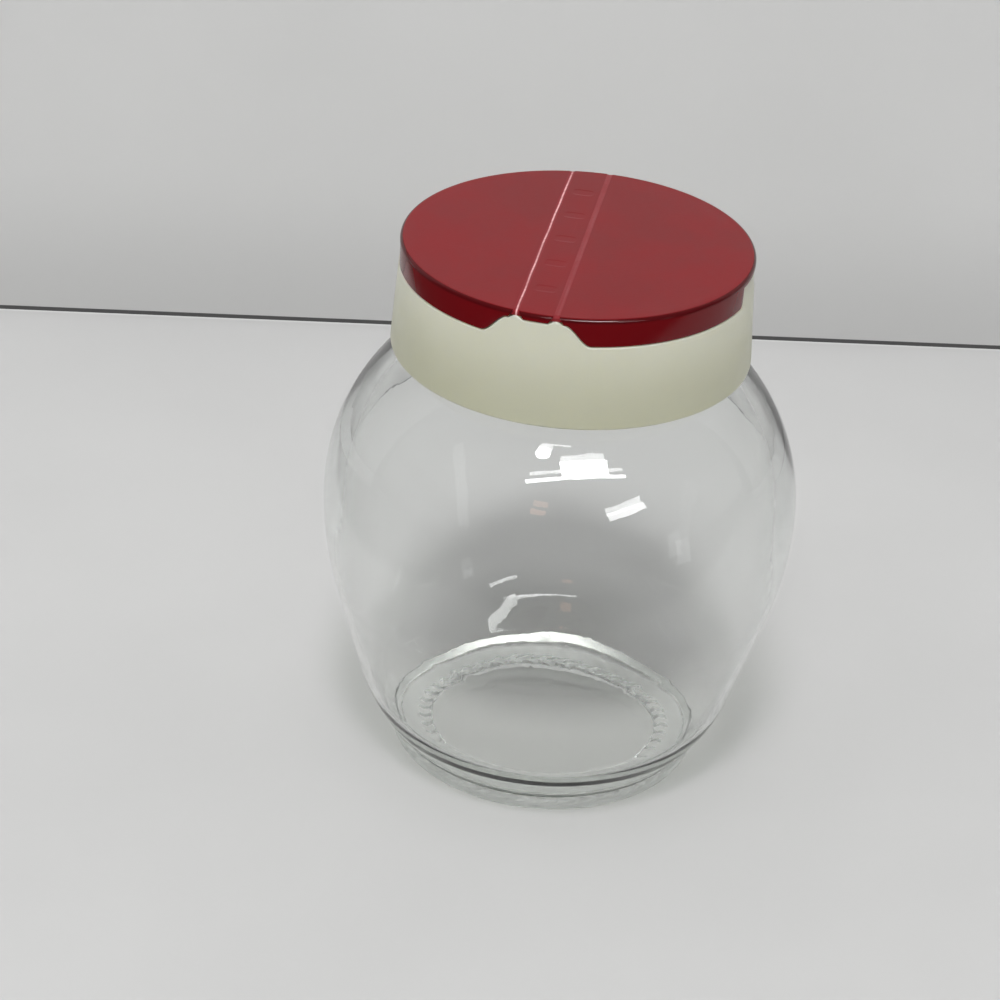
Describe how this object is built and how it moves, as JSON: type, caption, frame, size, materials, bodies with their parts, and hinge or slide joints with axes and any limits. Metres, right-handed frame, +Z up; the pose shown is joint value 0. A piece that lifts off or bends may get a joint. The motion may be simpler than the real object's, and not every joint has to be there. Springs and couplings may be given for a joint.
{
  "type": "spice jar",
  "caption": "Round-bellied clear glass jar with a screw-on cream collar and a red top whose two hinged flaps cover a spoon opening and a shaker.",
  "frame": {"origin": "centre of the foot ring, on the surface that the jar stands on", "axes": "+Z up the jar's axis; the hinge lines run along Y; the spoon flap is at +X and the shaker flap at -X"},
  "size_m": [0.0974, 0.0974, 0.1145],
  "materials": {
    "clear_glass": "clear, smooth, faint green in thick places",
    "cream_plastic": "cream polypropylene with a soft sheen",
    "red_plastic": "deep red polypropylene, smooth with fine handling marks",
    "white_foam": "closed foam, matt"
  },
  "bodies": {
    "glass_jar": {"glass_jar": "clear_glass"},
    "seal": {"seal_ring": "white_foam"},
    "cap": {"collar": "cream_plastic", "centre_strip": "red_plastic", "spoon_hinge_web": "red_plastic", "shaker_hinge_web": "red_plastic"},
    "spoon_flap": {"spoon_flap": "red_plastic"},
    "shaker_flap": {"shaker_flap": "red_plastic"}
  },
  "joints": [
    {"name": "cap_rise", "type": "slide", "parent": "glass_jar", "child": "seal", "axis": [0, 0, 1], "range_m": [0, 0.0053]},
    {"name": "cap_turn", "type": "hinge", "parent": "seal", "child": "cap", "pos_m": [0, 0, 0.1], "axis": [0, 0, 1], "range_deg": [0, 450]},
    {"name": "spoon_flap_hinge", "type": "hinge", "parent": "cap", "child": "spoon_flap", "pos_m": [0.00125, 0, 0.11425], "axis": [0, -1, 0], "range_deg": [0, 95], "deforming": ["spoon_hinge_web"]},
    {"name": "shaker_flap_hinge", "type": "hinge", "parent": "cap", "child": "shaker_flap", "pos_m": [-0.00645, 0, 0.11425], "axis": [0, 1, 0], "range_deg": [0, 95], "deforming": ["shaker_hinge_web"]}
  ],
  "couplings": [
    {"joint": "cap_rise", "follows": "cap_turn", "m_per_rad": 0.00067323}
  ]
}
